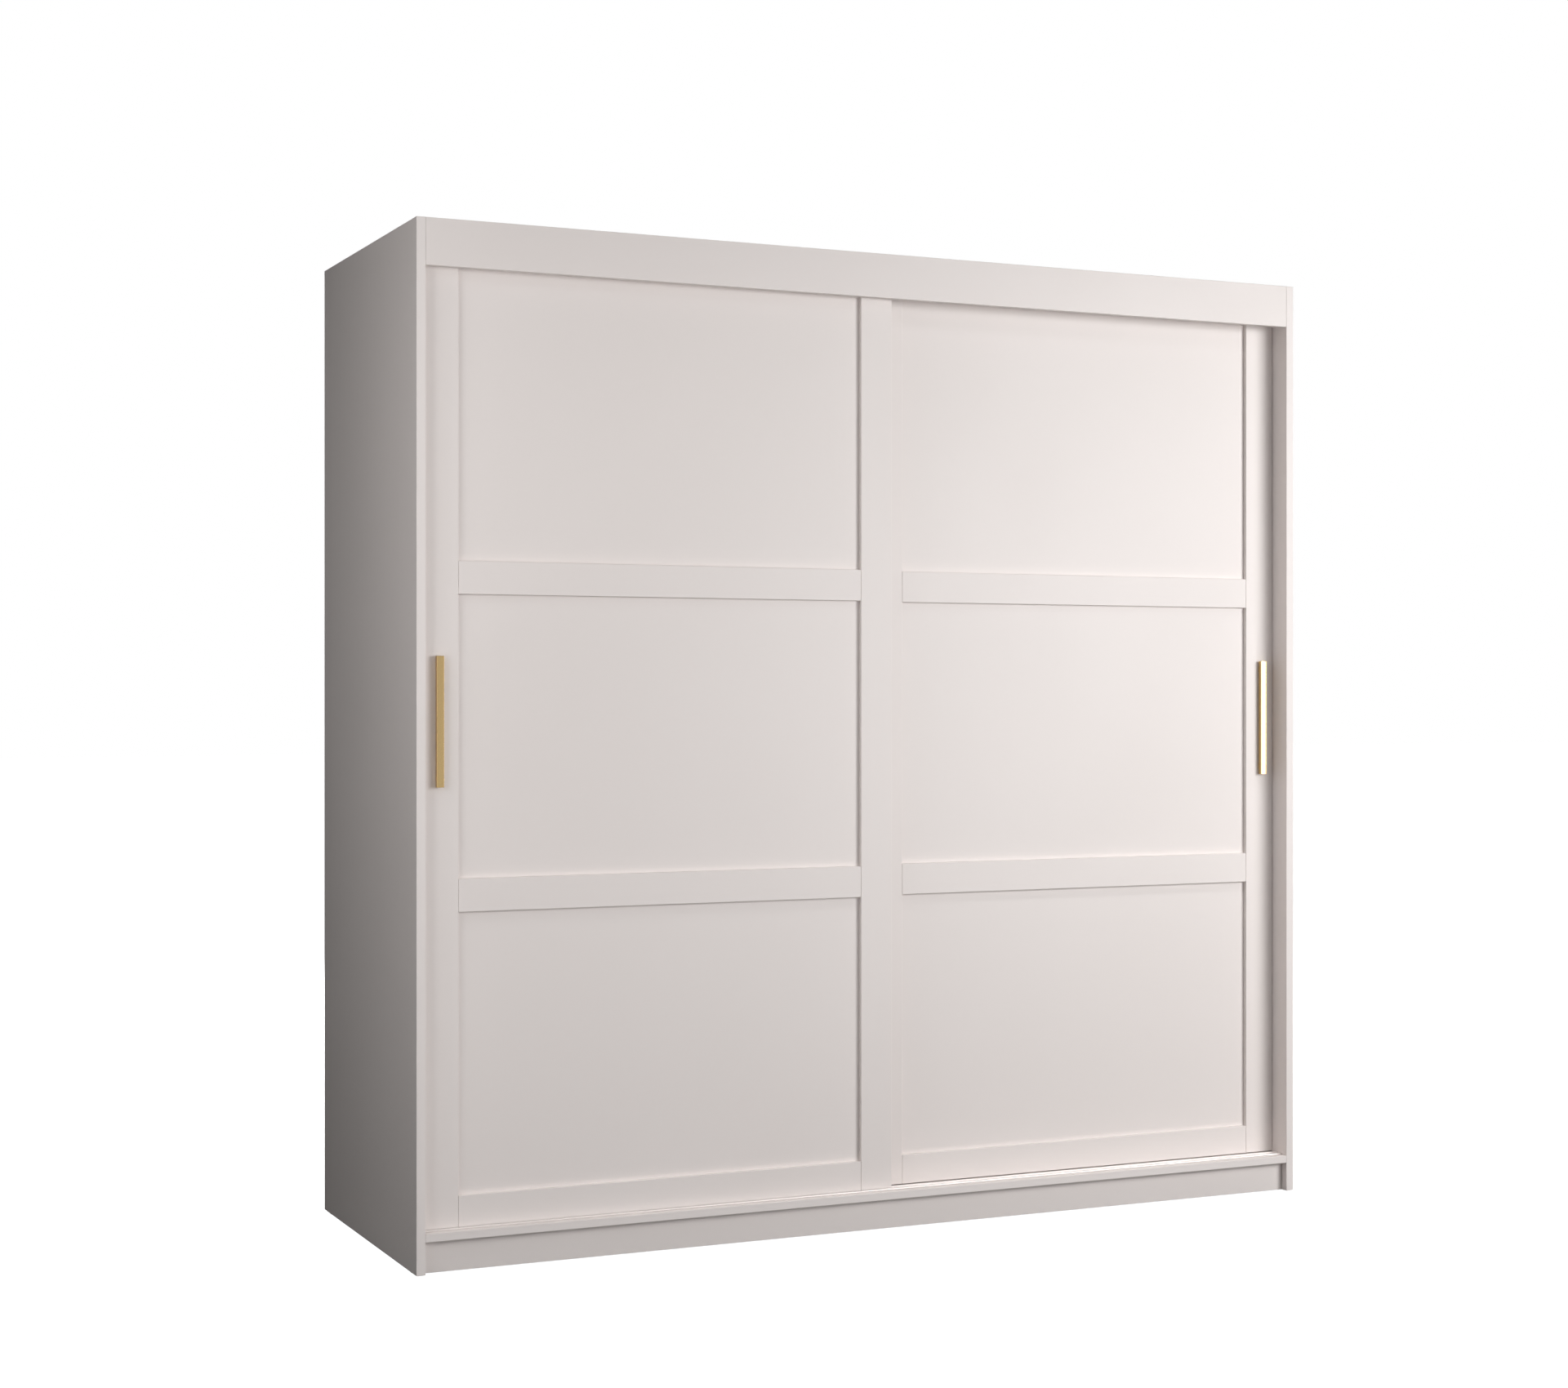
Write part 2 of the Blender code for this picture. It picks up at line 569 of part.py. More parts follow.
def door_frame(door, slide, left, right, face):
    """Four rails between two full-height stiles, all laid on the front of the backing panel."""
    rear = face + FRAME_THICKNESS - GAP
    stiles = (("left", left, left + STILE_WIDTH), ("right", right - STILE_WIDTH, right))
    for side, start, end in stiles:
        low = (start, face, DOOR_FRAME_BOTTOM)
        board(f"{door}_stile_{side}", "door_paint", low, (end, rear, DOOR_TOP), slide)
    rails = (
        ("bottom", DOOR_FRAME_BOTTOM, BOTTOM_RAIL_TOP),
        ("lower", LOWER_RAIL_BOTTOM, LOWER_RAIL_BOTTOM + MID_RAIL_HEIGHT),
        ("upper", UPPER_RAIL_BOTTOM, UPPER_RAIL_BOTTOM + MID_RAIL_HEIGHT),
        ("top", DOOR_TOP - TOP_RAIL_HEIGHT, DOOR_TOP),
    )
    start = left + STILE_WIDTH + GAP
    end = right - STILE_WIDTH - GAP
    for place, low, high in rails:
        board(f"{door}_rail_{place}", "door_paint", (start, face, low), (end, rear, high), slide)


def door(name, setback, left, handle_x, meshes):
    """One door with its frame, handle, rollers and guides, all under an empty on its slide axis."""
    right = left + DOOR_WIDTH
    middle = (left + right) / 2
    face = FRONT + setback
    lane = face + FRAME_THICKNESS + PANEL_THICKNESS / 2
    slide = add_empty(f"{name}_slide_axis", (middle, lane, TRACK_BOTTOM + BEAD_HEIGHT))
    half_panel = PANEL_THICKNESS / 2
    panel = extruded_mesh(f"{name}_panel", panel_outline(DOOR_WIDTH / 2), along_y, -half_panel, half_panel)
    add_part(f"{name}_panel", panel, "door_paint", (middle, lane, 0.0), slide)
    door_frame(name, slide, left, right, face)
    handle_z = HANDLE_BOTTOM + HANDLE_LENGTH / 2
    add_part(f"{name}_handle", meshes["handle"], "brass", (handle_x, face - GAP, handle_z), slide)
    for side, sign in (("left", -1), ("right", 1)):
        axle_place = (middle + sign * (DOOR_WIDTH / 2 - ROLLER_FROM_DOOR_END), lane, AXLE_HEIGHT)
        add_part(f"{name}_roller_housing_{side}", meshes["housing"], "steel", axle_place, slide)
        add_part(f"{name}_axle_{side}", meshes["axle"], "steel", axle_place, slide)
        add_part(f"{name}_wheel_{side}", meshes["wheel"], "nylon", axle_place, slide)
        guide_place = (middle + sign * (DOOR_WIDTH / 2 - GUIDE_FROM_DOOR_END), lane, DOOR_TOP)
        add_part(f"{name}_top_guide_{side}", meshes["guide"], "grey_plastic", guide_place, slide)


def doors():
    meshes = {
        "handle": handle_mesh(),
        "housing": housing_mesh(),
        "axle": axle_mesh(),
        "wheel": wheel_mesh(),
        "guide": guide_mesh(),
    }
    closed = INNER_HALF - DOOR_SIDE_GAP
    left_door = (-closed, -closed + DOOR_WIDTH)
    right_door = (closed - DOOR_WIDTH, closed)
    door("left_door", FRONT_LANE_SETBACK, left_door[0], left_door[0] + HANDLE_FROM_DOOR_EDGE, meshes)
    door("right_door", REAR_LANE_SETBACK, right_door[0], right_door[1] - HANDLE_FROM_DOOR_EDGE, meshes)
    front_lane, rear_lane = LANE_SETBACKS
    track_stops("left_door", front_lane, left_door, (0.0, DOOR_TRAVEL))
    track_stops("right_door", rear_lane, right_door, (-DOOR_TRAVEL, 0.0))


def main():
    clear_scene()
    carcass_boards()
    back_panels()
    shelves()
    hanging_rail()
    glides()
    top_track()
    bottom_track()
    doors()


main()
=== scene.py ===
import math
import random

import bmesh
import bpy
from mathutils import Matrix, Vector

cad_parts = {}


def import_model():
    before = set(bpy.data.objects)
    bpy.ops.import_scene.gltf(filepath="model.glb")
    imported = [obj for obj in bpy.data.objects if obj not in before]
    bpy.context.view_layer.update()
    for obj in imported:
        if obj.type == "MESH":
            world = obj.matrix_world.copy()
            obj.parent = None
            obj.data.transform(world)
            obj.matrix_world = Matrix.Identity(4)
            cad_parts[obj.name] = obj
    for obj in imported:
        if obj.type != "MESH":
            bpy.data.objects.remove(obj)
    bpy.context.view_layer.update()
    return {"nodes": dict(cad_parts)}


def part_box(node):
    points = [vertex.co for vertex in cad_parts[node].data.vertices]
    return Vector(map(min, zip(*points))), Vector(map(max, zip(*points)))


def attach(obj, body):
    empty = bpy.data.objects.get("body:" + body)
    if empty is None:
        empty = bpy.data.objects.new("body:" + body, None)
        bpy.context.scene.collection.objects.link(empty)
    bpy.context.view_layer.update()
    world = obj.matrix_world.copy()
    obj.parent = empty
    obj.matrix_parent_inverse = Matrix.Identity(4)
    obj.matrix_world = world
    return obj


# Looks for a white sliding door wardrobe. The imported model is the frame. This script gives its boards soft
# edges, procedural materials and the small fittings, and sets the floor, the lights and the camera.
# Metres throughout.

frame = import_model()
NODES = frame["nodes"]

# Camera
CAMERA_PLACE = (-2.365, -4.983, 1.0995)
CAMERA_YAW = math.radians(-24.63)
LENS_MM = 58.34
SENSOR_MM = 36.0
CLIP_RANGE = (0.05, 100.0)

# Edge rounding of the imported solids: (width, segments)
BOARD_EDGE = (0.0008, 3)
STRIP_EDGE = (0.0010, 3)
THIN_EDGE = (0.0003, 2)
HANDLE_EDGE = (0.00015, 2)
TRACK_EDGE = (0.0006, 3)
WELD_DISTANCE = 0.00001
FLAT_ANGLE = math.radians(1.0)
BEVEL_ANGLE = math.radians(35)
SHARP_ANGLE = math.radians(42)
GLUE_MARGIN = 0.001

# Back nails; a turned head rises above its surface and is sunk a little below it
NAIL_RADIUS = 0.0032
NAIL_RISE = 0.0009
NAIL_RIM = 0.0002
NAIL_SUNK = 0.0004
NAIL_INSET = 0.007
NAIL_CORNER_HEIGHT = 0.014
NAIL_FOOT_HEIGHT = 0.008
NAIL_ROWS = 14
NAIL_COLUMNS = 8

# Shelf pins, and the columns of holes for them
PIN_RADIUS = 0.0025
PIN_REACH = 0.0075
PIN_CHAMFER = 0.0006
PIN_COLLAR_RADIUS = 0.0045
PIN_COLLAR_THICKNESS = 0.0012
PIN_COLLAR_SLOPE = 0.0002
PIN_BELOW_SHELF = 0.0002
PIN_PAST_SHELF_END = 0.0003
PIN_FROM_SHELF_FRONT = 0.040
PIN_FROM_SHELF_REAR = 0.060
HOLE_RADIUS = 0.0025
HOLE_DEPTH = 0.011
HOLE_CUTTER_TIP = 0.004
HOLE_PITCH = 0.032
HOLE_START = 0.16
HOLE_ROWS = 40

# Cam caps
CAP_RADIUS = 0.0085
CAP_RISE = 0.0010
CAP_SUNK = 0.0003
CAP_FROM_END = 0.032
CAP_FROM_MIDDLE = 0.040
CAP_FROM_FRONT = 0.060
CAP_FROM_REAR = 0.080
TOP_CAP_FROM_FRONT = 0.120

# Facets of turned pieces
NAIL_FACETS = 12
PIN_FACETS = 16
HOLE_FACETS = 12
CAP_FACETS = 24
SCREW_FACETS = 20

# Screw heads: (radius, rise)
BOTTOM_TRACK_SCREW = (0.0034, 0.0005)
TOP_TRACK_SCREW = (0.0036, 0.0009)
CUP_SCREW = (0.0038, 0.0012)
HANDLE_SCREW = (0.0042, 0.0002)
HARDWARE_SCREW = (0.0030, 0.0004)

# Places of the screws
TRACK_SCREW_COUNT = 6
TRACK_SCREW_INSET = 0.06
BOTTOM_TRACK_STRIP = 0.0012
TOP_TRACK_WEB = 0.0017
CUP_PLATE = 0.003
CUP_SCREW_INSET = 0.008
HANDLE_SCREW_INSET = 0.018
HOUSING_SCREW_INSET = 0.005
HOUSING_SCREW_DROP = 0.006
GUIDE_SCREW_INSET = 0.009
GUIDE_SCREW_RISE = 0.014
GUIDE_SCREW_SUNK = 0.0003

# Dust brush
BRUSH_FROM_EDGE = 0.006
BRUSH_END_INSET = 0.020
BRUSH_HALF_WIDTH = 0.0035
BRUSH_DEPTH = 0.0018
BRUSH_LIFT = 0.0001
BRUSH_ROUNDING = 0.0004

# Its pile, in two lanes; the last four values are the limits of its random draws
PILE_LANE = 0.0014
PILE_PITCH = 0.0026
PILE_START = 0.8
PILE_SUNK = 0.0004
PILE_ROOT = 0.0009
PILE_TIP = 0.0006
PILE_CLEARANCE = 0.0006
PILE_SEED = 7
PILE_STRAY = 0.0003
PILE_LEAN = 0.0012
PILE_SHORTER = 0.0008
PILE_DROOP = 0.0010

# Tones, linear
WARM_WHITE = (0.838, 0.776, 0.750)
WARM_WHITE_DEEP = (0.828, 0.765, 0.738)
BAND_WHITE = (0.845, 0.784, 0.759)
BACK_BROWN = (0.50, 0.38, 0.26)
BACK_BROWN_DEEP = (0.41, 0.30, 0.20)
BRASS = (0.80, 0.58, 0.28)
BRASS_DEEP = (0.72, 0.50, 0.22)
ALUMINIUM = (0.86, 0.86, 0.86)
ALUMINIUM_DEEP = (0.78, 0.78, 0.79)
CHROME = (0.90, 0.90, 0.91)
CHROME_DEEP = (0.84, 0.85, 0.86)
ZINC = (0.66, 0.67, 0.69)
ZINC_DEEP = (0.50, 0.51, 0.53)
NYLON = (0.86, 0.85, 0.80)
NYLON_DEEP = (0.80, 0.78, 0.72)
GREY = (0.30, 0.30, 0.31)
GREY_DEEP = (0.24, 0.24, 0.25)
RUBBER = (0.035, 0.035, 0.036)
RUBBER_DEEP = (0.022, 0.022, 0.023)
GLIDE = (0.62, 0.60, 0.57)
GLIDE_DEEP = (0.54, 0.52, 0.49)
PILE = (0.42, 0.41, 0.40)
PILE_DEEP = (0.30, 0.29, 0.28)
FLOOR_TONE = (0.90, 0.89, 0.88)
FLOOR_TONE_DEEP = (0.87, 0.86, 0.85)

# How squarely a face looks along an axis, from not at all to fully
FACING_RANGE = (0.70, 0.80)

# The stretch of a noise that carries its variation
NOISE_WIDE = (0.30, 0.70)
NOISE_NARROW = (0.35, 0.65)


# ---------------------------------------------------------------- materials


class Look:
    """One procedural material: a Principled shader with a small net of nodes in front of it."""

    def __init__(self, name, metallic=0.0, **constants):
        self.material = bpy.data.materials.new(name)
        self.material.use_nodes = True
        self.tree = self.material.node_tree
        self.shader = self.tree.nodes["Principled BSDF"]
        self.shader.inputs["Metallic"].default_value = metallic
        for socket, value in constants.items():
            self.shader.inputs[socket.replace("_", " ")].default_value = value
        self.place = self.tree.nodes.new("ShaderNodeTexCoord").outputs["Object"]

    def node(self, kind, links=None, **settings):
        made = self.tree.nodes.new(kind)
        for key, value in settings.items():
            setattr(made, key, value)
        for socket, value in (links or {}).items():
            if isinstance(value, bpy.types.NodeSocket):
                self.tree.links.new(value, made.inputs[socket])
            else:
                made.inputs[socket].default_value = value
        return made

    def stretched(self, scale):
        """Object coordinates scaled along each axis, in repeats per metre."""
        return self.node("ShaderNodeMapping", {"Vector": self.place, "Scale": scale}).outputs["Vector"]

    def noise(self, scale, detail=2.0, roughness=0.5):
        """Noise with `scale` features per metre along X, Y and Z."""
        links = {"Vector": self.stretched(scale), "Scale": 1.0, "Detail": detail, "Roughness": roughness}
        return self.node("ShaderNodeTexNoise", links).outputs["Fac"]

    def cells(self, scale):
        """Distance from the middle of a cell, with `scale` cells per metre along X, Y and Z."""
        links = {"Vector": self.stretched(scale), "Scale": 1.0}
        return self.node("ShaderNodeTexVoronoi", links).outputs["Distance"]

    def ranged(self, value, low, high, to_low, to_high):
        links = {"Value": value, "From Min": low, "From Max": high, "To Min": to_low, "To Max": to_high}
        return self.node("ShaderNodeMapRange", links).outputs["Result"]

    def blend(self, factor, first, second):
        """Mix two colours, each a colour or a socket, by a factor socket."""
        made = self.node("ShaderNodeMix", data_type="RGBA")
        self.tree.links.new(factor, made.inputs["Factor"])
        for index, colour in ((6, first), (7, second)):
            if isinstance(colour, bpy.types.NodeSocket):
                self.tree.links.new(colour, made.inputs[index])
            else:
                made.inputs[index].default_value = (*colour, 1.0)
        return made.outputs[2]

    def mottle(self, noise, first, second, stretch=NOISE_NARROW, most=1.0):
        """Blend from one tone to another by a noise, as far as `most`."""
        return self.blend(self.ranged(noise, *stretch, 0.0, most), first, second)

    def colour(self, socket):
        self.tree.links.new(socket, self.shader.inputs["Base Color"])

    def roughness(self, noise, smooth, rough):
        self.tree.links.new(self.ranged(noise, *NOISE_WIDE, smooth, rough), self.shader.inputs["Roughness"])

    def bump(self, *layers):
        """Chain bump layers, each (height socket, distance in metres, strength)."""
        normal = None
        for height, distance, strength in layers:
            links = {"Height": height, "Distance": distance, "Strength": strength}
            if normal:
                links["Normal"] = normal
            normal = self.node("ShaderNodeBump", links).outputs["Normal"]
        self.tree.links.new(normal, self.shader.inputs["Normal"])

    def facing(self, axis, sign=0):
        """1 where the face looks along `axis` (either way, or only to `sign`), 0 elsewhere."""
        normal = self.tree.nodes.new("ShaderNodeNewGeometry").outputs["Normal"]
        part = self.node("ShaderNodeSeparateXYZ", {"Vector": normal}).outputs[axis]
        if sign:
            along = self.node("ShaderNodeMath", {0: part, 1: float(sign)}, operation="MULTIPLY").outputs[0]
        else:
            along = self.node("ShaderNodeMath", {0: part}, operation="ABSOLUTE").outputs[0]
        return self.ranged(along, *FACING_RANGE, 0.0, 1.0)


def board_look(name, axis):
    """Matte white melamine whose broad faces look along `axis`, with a slightly paler band on its edges."""
    look = Look(name, Specular_IOR_Level=0.45)
    broad = look.facing(axis)
    cloud = look.noise((1.7, 1.9, 1.5), 3.0)
    look.colour(look.blend(broad, BAND_WHITE, look.mottle(cloud, WARM_WHITE, WARM_WHITE_DEEP)))
    smear = look.noise((6, 6, 6), 4.0)
    look.roughness(smear, 0.44, 0.49)
    pearl = look.cells((620, 620, 620))
    grain = look.noise((900, 900, 900), 2.0)
    look.bump((pearl, 0.00002, 0.35), (grain, 0.00002, 0.25))
    return look.material


def door_look(name):
    """Smooth matte white foil, a little finer than the boards."""
    look = Look(name, Specular_IOR_Level=0.5)
    cloud = look.noise((1.3, 1.3, 1.1), 3.0)
    face = look.mottle(cloud, WARM_WHITE, WARM_WHITE_DEEP)
    speck = look.noise((300, 300, 300), 2.0)
    look.colour(look.mottle(speck, face, BAND_WHITE, (0.70, 0.85), 0.35))
    smear = look.noise((5, 5, 4), 4.0)
    look.roughness(smear, 0.47, 0.50)
    grain = look.noise((1100, 1100, 1100), 2.0)
    waves = look.noise((60, 60, 50), 2.0)
    look.bump((grain, 0.00002, 0.30), (waves, 0.00002, 0.10))
    return look.material


def back_look(name):
    """Thin hardboard: white paint inside, bare pressed fibre outside."""
    look = Look(name)
    outside = look.facing("Y", 1)
    fibre = look.noise((260, 260, 90), 5.0, 0.65)
    fleck = look.cells((420, 420, 300))
    cloud = look.noise((2, 2, 2), 3.0)
    brown = look.mottle(fibre, BACK_BROWN, BACK_BROWN_DEEP, (0.35, 0.70))
    worn = look.mottle(cloud, brown, BACK_BROWN_DEEP, (0.4, 0.7), 0.35)
    white = look.mottle(cloud, WARM_WHITE, WARM_WHITE_DEEP, NOISE_WIDE)
    look.colour(look.blend(outside, white, worn))
    look.roughness(fibre, 0.55, 0.72)
    look.bump((fibre, 0.0001, 0.35), (fleck, 0.00005, 0.25))
    return look.material


def metal_look(
    name, tones, roughness, grain, anisotropic=0.0, distance=0.00002, strength=0.35, cloud_scale=14.0
):
    """Metal with a grain of `grain` features per metre along X, Y and Z, for brushed and drawn surfaces."""
    look = Look(name, metallic=1.0, Anisotropic=anisotropic)
    lines = look.noise(grain, 3.0, 0.6)
    cloud = look.noise((cloud_scale, cloud_scale, cloud_scale), 3.0)
    drawn = look.mottle(lines, *tones, NOISE_WIDE)
    look.colour(look.mottle(cloud, drawn, tones[1], (0.5, 0.8), 0.3))
    look.roughness(lines, *roughness)
    look.bump((lines, distance, strength))
    return look.material


def moulded_look(name, tones, roughness, grain=700.0, sheen=0.0):
    """Plastic or rubber with a fine spark-eroded texture."""
    look = Look(name, Sheen_Weight=sheen)
    fine = look.noise((grain, grain, grain), 3.0)
    cloud = look.noise((30, 30, 30), 3.0)
    look.colour(look.mottle(cloud, *tones))
    look.roughness(fine, *roughness)
    look.bump((fine, 0.00004, 0.4))
    return look.material


def lacquer_look(name):
    """Satin white lacquer that lets a little of the metal's lustre through."""
    look = Look(name, metallic=0.28, Coat_Weight=0.8, Coat_Roughness=0.15)
    cloud = look.noise((3, 20, 20), 3.0)
    look.colour(look.mottle(cloud, BAND_WHITE, WARM_WHITE))
    peel = look.noise((500, 900, 900), 2.0)
    look.roughness(peel, 0.40, 0.46)
    look.bump((peel, 0.00002, 0.25))
    return look.material


def make_looks():
    return {
        "board_x": board_look("laminate_upright", "X"),
        "board_y": board_look("laminate_front", "Y"),
        "board_z": board_look("laminate_level", "Z"),
        "door": door_look("door_foil"),
        "back": back_look("hardboard"),
        "brass": metal_look(
            "brushed_brass", (BRASS, BRASS_DEEP), (0.17, 0.23), (1500, 1500, 4),
            distance=0.00001, strength=0.2, cloud_scale=3.0,
        ),
        "aluminium": metal_look(
            "extruded_aluminium", (ALUMINIUM, ALUMINIUM_DEEP), (0.28, 0.42), (12, 2200, 2200),
            anisotropic=0.3,
        ),
        "chrome": metal_look(
            "chrome", (CHROME, CHROME_DEEP), (0.05, 0.11), (60, 60, 60),
            distance=0.00001, strength=0.1,
        ),
        "lacquer": lacquer_look("track_lacquer"),
        "zinc": metal_look("zinc_steel", (ZINC, ZINC_DEEP), (0.30, 0.46), (240, 240, 240), strength=0.2),
        "nylon": moulded_look("nylon", (NYLON, NYLON_DEEP), (0.34, 0.46)),
        "grey": moulded_look("grey_plastic", (GREY, GREY_DEEP), (0.45, 0.58)),
        "rubber": moulded_look("rubber", (RUBBER, RUBBER_DEEP), (0.70, 0.85), 500.0),
        "glide": moulded_look("glide_plastic", (GLIDE, GLIDE_DEEP), (0.45, 0.6)),
        "cap": moulded_look("white_cap", (BAND_WHITE, WARM_WHITE), (0.38, 0.48)),
        "pile": moulded_look("brush_pile", (PILE, PILE_DEEP), (0.75, 0.9), 400.0, 0.4),
    }


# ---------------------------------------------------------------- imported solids


def edge_group():
    """Geometry nodes that mark the sharp edges in front of a rear limit, in Y, for the bevel."""
    group = bpy.data.node_groups.new("front_edges", "GeometryNodeTree")
    group.interface.new_socket("Geometry", in_out="INPUT", socket_type="NodeSocketGeometry")
    group.interface.new_socket("Rear limit", in_out="INPUT", socket_type="NodeSocketFloat")
    group.interface.new_socket("Geometry", in_out="OUTPUT", socket_type="NodeSocketGeometry")
    made = group.nodes.new
    start, end = made("NodeGroupInput"), made("NodeGroupOutput")
    angle, sharp = made("GeometryNodeInputMeshEdgeAngle"), made("FunctionNodeCompare")
    place, part = made("GeometryNodeInputPosition"), made("ShaderNodeSeparateXYZ")
    ahead = made("FunctionNodeCompare")
    both, store = made("FunctionNodeBooleanMath"), made("GeometryNodeStoreNamedAttribute")
    sharp.inputs[1].default_value = BEVEL_ANGLE
    ahead.operation = "LESS_THAN"
    store.domain = "EDGE"
    store.inputs["Name"].default_value = "bevel_weight_edge"
    link = group.links.new
    link(angle.outputs["Unsigned Angle"], sharp.inputs[0])
    link(place.outputs["Position"], part.inputs[0])
    link(part.outputs["Y"], ahead.inputs[0])
    link(start.outputs["Rear limit"], ahead.inputs[1])
    link(sharp.outputs["Result"], both.inputs[0])
    link(ahead.outputs["Result"], both.inputs[1])
    link(start.outputs["Geometry"], store.inputs["Geometry"])
    link(both.outputs["Boolean"], store.inputs["Value"])
    link(store.outputs["Geometry"], end.inputs["Geometry"])
    return group


def shading_group():
    """Geometry nodes that shade every face smooth but keep edges sharper than SHARP_ANGLE."""
    group = bpy.data.node_groups.new("shade_by_angle", "GeometryNodeTree")
    group.interface.new_socket("Geometry", in_out="INPUT", socket_type="NodeSocketGeometry")
    group.interface.new_socket("Geometry", in_out="OUTPUT", socket_type="NodeSocketGeometry")
    made = group.nodes.new
    start, end = made("NodeGroupInput"), made("NodeGroupOutput")
    faces, edges = made("GeometryNodeSetShadeSmooth"), made("GeometryNodeSetShadeSmooth")
    faces.domain = "FACE"
    edges.domain = "EDGE"
    edges.inputs["Shade Smooth"].default_value = False
    angle, sharper = made("GeometryNodeInputMeshEdgeAngle"), made("FunctionNodeCompare")
    sharper.inputs[1].default_value = SHARP_ANGLE
    link = group.links.new
    link(start.outputs[0], faces.inputs["Geometry"])
    link(faces.outputs["Geometry"], edges.inputs["Geometry"])
    link(angle.outputs["Unsigned Angle"], sharper.inputs[0])
    link(sharper.outputs["Result"], edges.inputs["Selection"])
    link(edges.outputs["Geometry"], end.inputs[0])
    return group


def soften(obj, edge, rear_limit, edges, shading):
    """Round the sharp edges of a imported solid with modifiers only, and shade it."""
    weld = obj.modifiers.new("weld", "WELD")
    weld.merge_threshold = WELD_DISTANCE
    flat = obj.modifiers.new("flat", "DECIMATE")
    flat.decimate_type = "DISSOLVE"
    flat.angle_limit = FLAT_ANGLE
    mark = obj.modifiers.new("mark", "NODES")
    mark.node_group = edges
    mark[edges.interface.items_tree["Rear limit"].identifier] = rear_limit
    bevel = obj.modifiers.new("bevel", "BEVEL")
    bevel.width, bevel.segments = edge
    bevel.limit_method = "WEIGHT"
    bevel.miter_outer = "MITER_ARC"
    shade = obj.modifiers.new("shade", "NODES")
    shade.node_group = shading
    normals = obj.modifiers.new("normals", "WEIGHTED_NORMAL")
    normals.keep_sharp = True


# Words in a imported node's name, its look and its edge; the first row that has a word of the name holds
STYLES = (
    (("_handle",), "brass", HANDLE_EDGE),
    (("door_panel",), "door", THIN_EDGE),
    (("door_stile", "door_rail"), "door", STRIP_EDGE),
    (("housing", "axle"), "zinc", THIN_EDGE),
    (("wheel",), "nylon", THIN_EDGE),
    (("guide",), "grey", THIN_EDGE),
    (("stop",), "rubber", BOARD_EDGE),
    (("glide",), "glide", THIN_EDGE),
    (("bottom_track",), "lacquer", TRACK_EDGE),
    (("top_track",), "aluminium", THIN_EDGE),
    (("rail_cup", "hanging_rail"), "chrome", THIN_EDGE),
    (("back_panel",), "back", THIN_EDGE),
    (("side_panel", "partition"), "board_x", BOARD_EDGE),
    (("fascia", "plinth"), "board_y", BOARD_EDGE),
    (("panel", "shelf"), "board_z", BOARD_EDGE),
)


def style_of(node):
    """(look, edge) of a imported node."""
    return next((look, edge) for words, look, edge in STYLES if any(word in node for word in words))


def dress_nodes(looks):
    edges, shading = edge_group(), shading_group()
    for name, obj in NODES.items():
        look, edge = style_of(name)
        obj.data.materials.clear()
        obj.data.materials.append(looks[look])
        # The strips are glued to their door's panel, so their rear edges stay sharp
        margin = -GLUE_MARGIN if edge == STRIP_EDGE else GLUE_MARGIN
        soften(obj, edge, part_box(name)[1].y + margin, edges, shading)


# ---------------------------------------------------------------- fittings


def centre_of(node):
    low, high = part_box(node)
    return (low + high) / 2


def object_from(bm, name):
    """Turn a bmesh of closed shapes, already in place, into an object of the scene."""
    bmesh.ops.recalc_face_normals(bm, faces=bm.faces)
    mesh = bpy.data.meshes.new(name)
    bm.to_mesh(mesh)
    bm.free()
    made = bpy.data.objects.new(name, mesh)
    bpy.context.scene.collection.objects.link(made)
    return made


def add_piece(name, bm, look, body, smooth=True):
    """Turn a bmesh into a piece that rides on `body`."""
    piece = object_from(bm, name)
    if smooth:
        piece.data.shade_smooth()
        piece.data.set_sharp_from_angle(angle=SHARP_ANGLE)
    piece.data.materials.append(look)
    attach(piece, body)


def turned(bm, profile, place, axis, facets):
    """Add a turned solid to `bm`. Its (radius, height) points go from its axis out and back to it."""
    rings = []
    turn = Vector((0, 0, 1)).rotation_difference(Vector(axis)).to_matrix()
    for radius, height in profile:
        if radius == 0.0:
            rings.append([bm.verts.new(Vector(place) + turn @ Vector((0, 0, height)))])
            continue
        ring = []
        for i in range(facets):
            angle = 2 * math.pi * i / facets
            offset = Vector((radius * math.cos(angle), radius * math.sin(angle), height))
            ring.append(bm.verts.new(Vector(place) + turn @ offset))
        rings.append(ring)
    for below, above in zip(rings, rings[1:]):
        for i in range(facets):
            j = (i + 1) % facets
            if len(below) == 1:
                bm.faces.new((below[0], above[i], above[j]))
            elif len(above) == 1:
                bm.faces.new((below[i], below[j], above[0]))
            else:
                bm.faces.new((below[i], below[j], above[j], above[i]))


def box_into(bm, low, high):
    """Add a box to `bm` by two opposite corners."""
    made = bmesh.ops.create_cube(bm, size=1.0)["verts"]
    size = Vector(high) - Vector(low)
    bmesh.ops.scale(bm, vec=size, verts=made)
    bmesh.ops.translate(bm, vec=(Vector(low) + Vector(high)) / 2, verts=made)


def screws(name, places, axis, head, look, body):
    """Pan heads with a shallow round recess in their middle, in one piece."""
    radius, rise = head
    recess = 0.42 * radius
    floor_of_recess = 0.45 * rise
    profile = [
        (0.0, -rise),
        (0.92 * radius, -rise),
        (radius, 0.0),
        (0.96 * radius, 0.45 * rise),
        (0.72 * radius, 0.9 * rise),
        (recess, rise),
        (0.7 * recess, floor_of_recess),
        (0.0, floor_of_recess),
    ]
    bm = bmesh.new()
    for place in places:
        turned(bm, profile, place, axis, SCREW_FACETS)
    add_piece(name, bm, look, body)


def spread(start, end, count):
    """`count` even places from start to end."""
    return [start + (end - start) * i / (count - 1) for i in range(count)]


